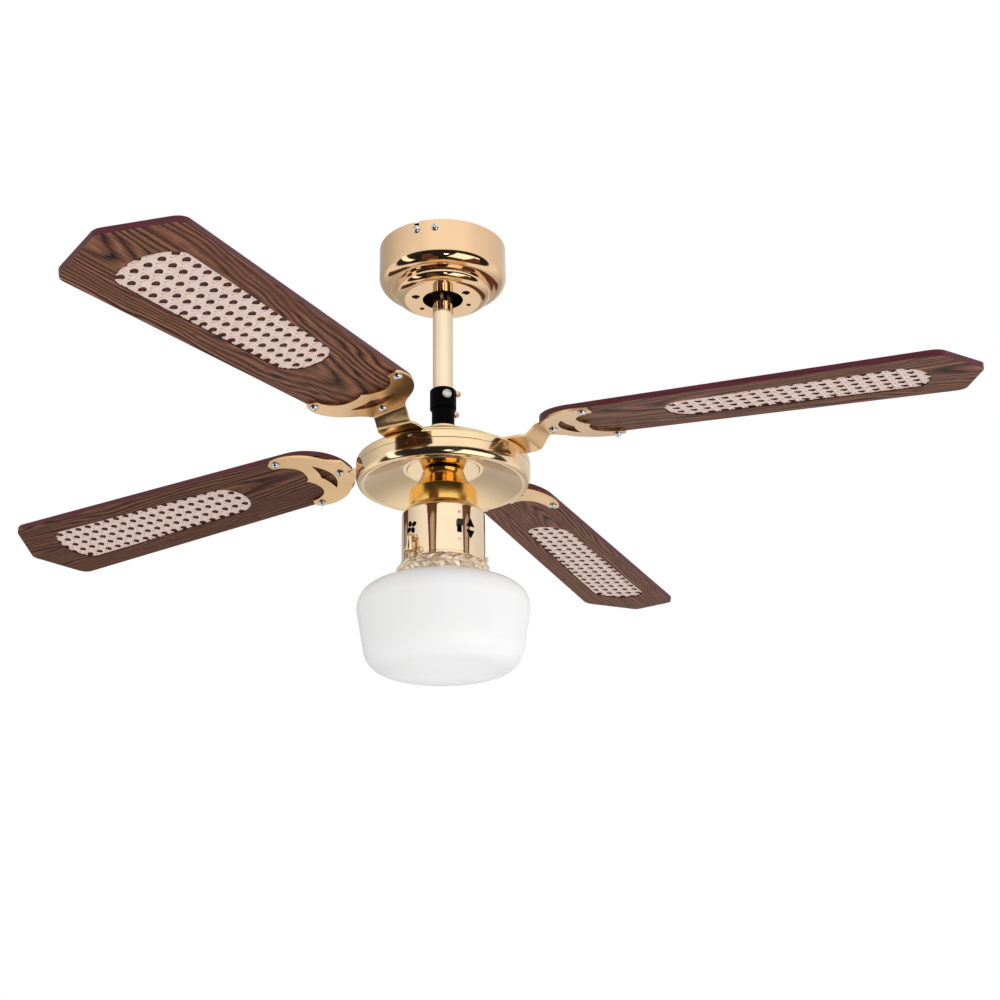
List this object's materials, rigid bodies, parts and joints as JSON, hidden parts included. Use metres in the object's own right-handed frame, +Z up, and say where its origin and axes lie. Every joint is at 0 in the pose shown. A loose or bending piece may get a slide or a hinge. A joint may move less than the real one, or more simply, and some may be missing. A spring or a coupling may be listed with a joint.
{
  "type": "ceiling fan with light",
  "caption": "Ceiling fan on a short downrod with dark wood blades with cane panels, brass motor housing and blade irons, switch housing below and a closed opal glass shade.",
  "frame": {"origin": "centre of the hanger bracket's ceiling face, on the axis of the downrod and the rotor", "axes": "+Z up into the ceiling, along the rotor's axis; -Y towards the side that shows the reversing switch; +X to the right seen from there"},
  "size_m": [0.9462, 0.9462, 0.4644],
  "materials": {
    "brass": "polished and lacquered",
    "satin_brass": "satin lacquered",
    "black_paint": "satin",
    "zinc_steel": "zinc plated",
    "chrome": "bright",
    "core_steel": "bare laminations",
    "copper": "bare copper",
    "walnut": "dark walnut, satin",
    "cane": "woven cane, natural",
    "black_plastic": "satin",
    "grey_plastic": "satin",
    "porcelain": "glazed",
    "opal_glass": "white opal, glossy",
    "frosted_glass": "frosted"
  },
  "bodies": {
    "ceiling_mount": {"hanger_bracket": "black_paint", "canopy": "brass", "canopy_screw_1": "chrome", "canopy_screw_2": "chrome", "canopy_screw_3": "chrome", "canopy_screw_4": "chrome", "terminal_block": "grey_plastic"},
    "cross_pin": {"hanger_cross_pin": "zinc_steel"},
    "stator": {"hanger_ball": "black_plastic", "downrod": "brass", "coupling": "black_paint", "clevis_bolt": "zinc_steel", "set_screw_upper": "copper", "set_screw_lower": "copper", "motor_shaft": "zinc_steel", "stator_core": "core_steel", "stator_windings": "copper", "switch_housing_neck": "brass", "switch_housing": "brass", "reverse_switch_body": "black_plastic", "fan_pull_switch": "black_plastic", "light_pull_switch": "black_plastic", "motor_capacitor": "grey_plastic", "fitter_ring": "brass", "lamp_holder": "porcelain", "bulb": "frosted_glass", "shade": "opal_glass"},
    "reverse_slider": {"reverse_slider": "black_plastic"},
    "fan_pull_chain": {"fan_pull_chain": "brass"},
    "light_pull_chain": {"light_pull_chain": "brass"},
    "rotor": {"upper_motor_cover": "brass", "lower_motor_cover": "brass", "rotor_ring": "core_steel", "upper_bearing": "zinc_steel", "lower_bearing": "zinc_steel", "blade_iron_1": "satin_brass", "blade_1": "walnut", "cane_panel_1": "cane", "blade_screw_1_1": "chrome", "blade_screw_1_2": "chrome", "blade_screw_1_3": "chrome", "blade_iron_2": "satin_brass", "blade_2": "walnut", "cane_panel_2": "cane", "blade_screw_2_1": "chrome", "blade_screw_2_2": "chrome", "blade_screw_2_3": "chrome", "blade_iron_3": "satin_brass", "blade_3": "walnut", "cane_panel_3": "cane", "blade_screw_3_1": "chrome", "blade_screw_3_2": "chrome", "blade_screw_3_3": "chrome", "blade_iron_4": "satin_brass", "blade_4": "walnut", "cane_panel_4": "cane", "blade_screw_4_1": "chrome", "blade_screw_4_2": "chrome", "blade_screw_4_3": "chrome"}
  },
  "joints": [
    {"name": "hanger_tilt_x", "type": "hinge", "parent": "ceiling_mount", "child": "cross_pin", "pos_m": [0, 0, -0.028], "axis": [1, 0, 0], "range_deg": [-8, 8]},
    {"name": "hanger_tilt_y", "type": "hinge", "parent": "cross_pin", "child": "stator", "pos_m": [0, 0, -0.028], "axis": [0, 1, 0], "range_deg": [-8, 8]},
    {"name": "rotor_spin", "type": "hinge", "parent": "stator", "child": "rotor", "pos_m": [0, 0, -0.24], "axis": [0, 0, 1], "continuous": true},
    {"name": "reverse_slide", "type": "slide", "parent": "stator", "child": "reverse_slider", "axis": [0, 0, -1], "range_m": [0, 0.0065]},
    {"name": "fan_pull", "type": "slide", "parent": "stator", "child": "fan_pull_chain", "axis": [0, 0, -1], "range_m": [0, 0.005], "stiffness_N_per_m": 200, "springref_m": -0.002},
    {"name": "light_pull", "type": "slide", "parent": "stator", "child": "light_pull_chain", "axis": [0, 0, -1], "range_m": [0, 0.005], "stiffness_N_per_m": 200, "springref_m": -0.002}
  ]
}
